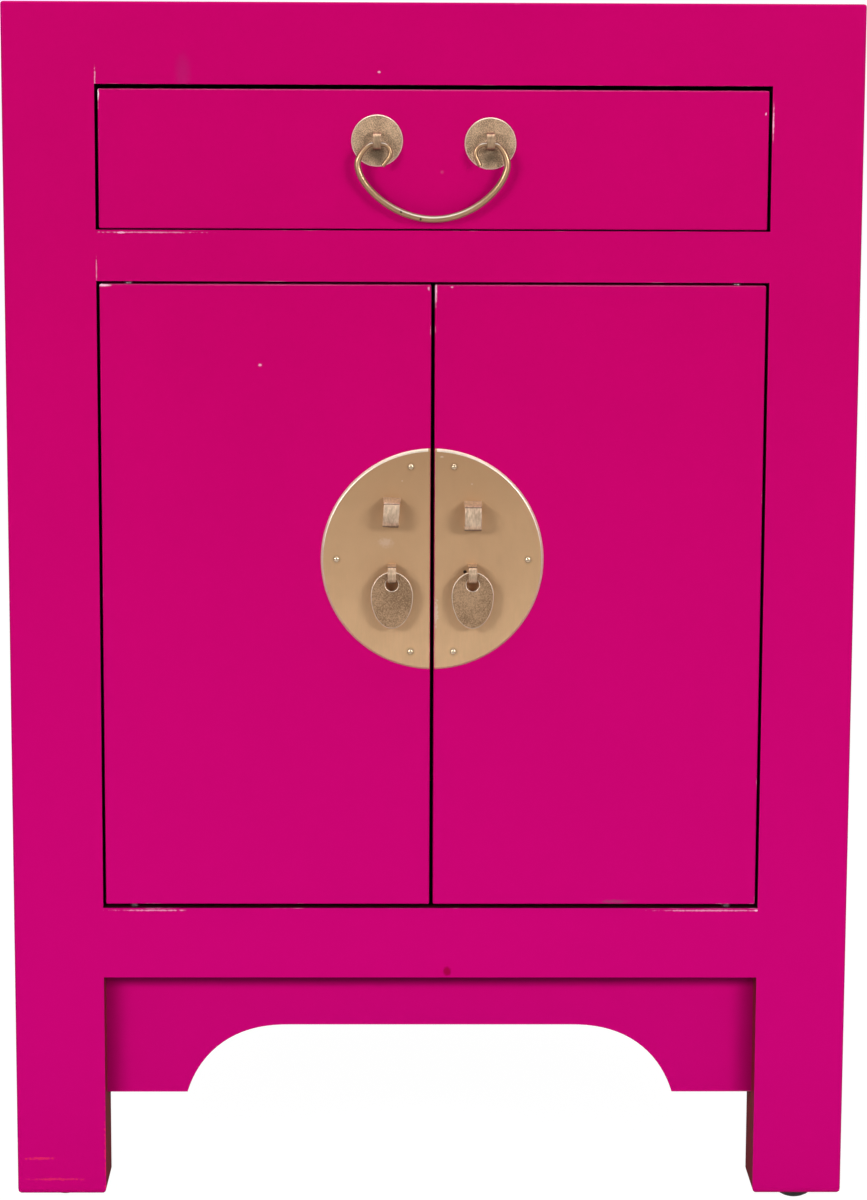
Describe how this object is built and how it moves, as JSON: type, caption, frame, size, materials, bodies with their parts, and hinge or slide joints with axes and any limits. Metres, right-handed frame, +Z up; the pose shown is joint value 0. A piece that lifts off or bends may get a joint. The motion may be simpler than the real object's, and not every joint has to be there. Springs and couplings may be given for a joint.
{
  "type": "bedside cabinet",
  "caption": "Small East Asian style bedside cabinet with a drawer over paired pivoted doors, a round brass moon lock plate, post legs and arched aprons.",
  "frame": {"origin": "on the floor, at the middle of the whole outline's footprint, fittings included", "axes": "+Z up, -Y out of the front with its drawer and doors, +X to the right of a person who faces the front"},
  "size_m": [0.42, 0.3634, 0.605],
  "materials": {
    "lacquer": "satin magenta lacquer, rubbed pale at the edges",
    "dark_wood": "dark stain",
    "plain_wood": "bare planed wood",
    "steel": "zinc plated",
    "plastic": "moulded black",
    "brass": "brushed, pale"
  },
  "bodies": {
    "cabinet": {"post_front_left": "lacquer", "post_front_right": "lacquer", "post_back_left": "lacquer", "post_back_right": "lacquer", "top_board": "lacquer", "top_rail_front": "lacquer", "top_rail_back": "lacquer", "middle_rail": "lacquer", "bottom_rail_front": "lacquer", "bottom_rail_back": "lacquer", "side_rail_top_left": "lacquer", "side_rail_top_right": "lacquer", "side_rail_bottom_left": "lacquer", "side_rail_bottom_right": "lacquer", "side_panel_left": "lacquer", "side_panel_right": "lacquer", "apron_front": "lacquer", "apron_left": "lacquer", "apron_right": "lacquer", "back_panel": "dark_wood", "cupboard_floor": "dark_wood", "door_stop": "dark_wood", "drawer_runner_left": "plain_wood", "drawer_runner_right": "plain_wood", "drawer_guide_left": "plain_wood", "drawer_guide_right": "plain_wood", "drawer_kicker_left": "plain_wood", "drawer_kicker_right": "plain_wood", "door_magnets": "steel", "foot_glides": "plastic"},
    "drawer": {"drawer_front": "lacquer", "drawer_side_left": "plain_wood", "drawer_side_right": "plain_wood", "drawer_back": "plain_wood", "drawer_bottom": "plain_wood", "pull_rosette_left": "brass", "pull_rosette_right": "brass", "pull_eye_left": "brass", "pull_eye_right": "brass"},
    "bail": {"drawer_bail": "brass"},
    "left_door": {"door_left": "lacquer", "door_pivots_left": "steel", "moon_plate_left": "brass", "plate_nails_left": "brass", "lock_loop_left": "brass", "tag_eye_left": "brass", "strike_left": "steel"},
    "left_tag": {"tag_pull_left": "brass"},
    "right_door": {"door_right": "lacquer", "door_pivots_right": "steel", "moon_plate_right": "brass", "plate_nails_right": "brass", "lock_loop_right": "brass", "tag_eye_right": "brass", "strike_right": "steel"},
    "right_tag": {"tag_pull_right": "brass"}
  },
  "joints": [
    {"name": "drawer_slide", "type": "slide", "parent": "cabinet", "child": "drawer", "axis": [0, -1, 0], "range_m": [0, 0.25]},
    {"name": "bail_hinge", "type": "hinge", "parent": "drawer", "child": "bail", "pos_m": [0, -0.17465, 0.537], "axis": [-1, 0, 0], "range_deg": [-5, 165]},
    {"name": "left_door_hinge", "type": "hinge", "parent": "cabinet", "child": "left_door", "pos_m": [-0.14953, -0.16225, 0.305], "axis": [0, 0, -1], "range_deg": [0, 120]},
    {"name": "right_door_hinge", "type": "hinge", "parent": "cabinet", "child": "right_door", "pos_m": [0.14953, -0.16225, 0.305], "axis": [0, 0, 1], "range_deg": [0, 120]},
    {"name": "left_tag_hinge", "type": "hinge", "parent": "left_door", "child": "left_tag", "pos_m": [-0.02, -0.17605, 0.32625], "axis": [-1, 0, 0], "range_deg": [-8, 145]},
    {"name": "right_tag_hinge", "type": "hinge", "parent": "right_door", "child": "right_tag", "pos_m": [0.02, -0.17605, 0.32625], "axis": [-1, 0, 0], "range_deg": [-8, 145]}
  ]
}
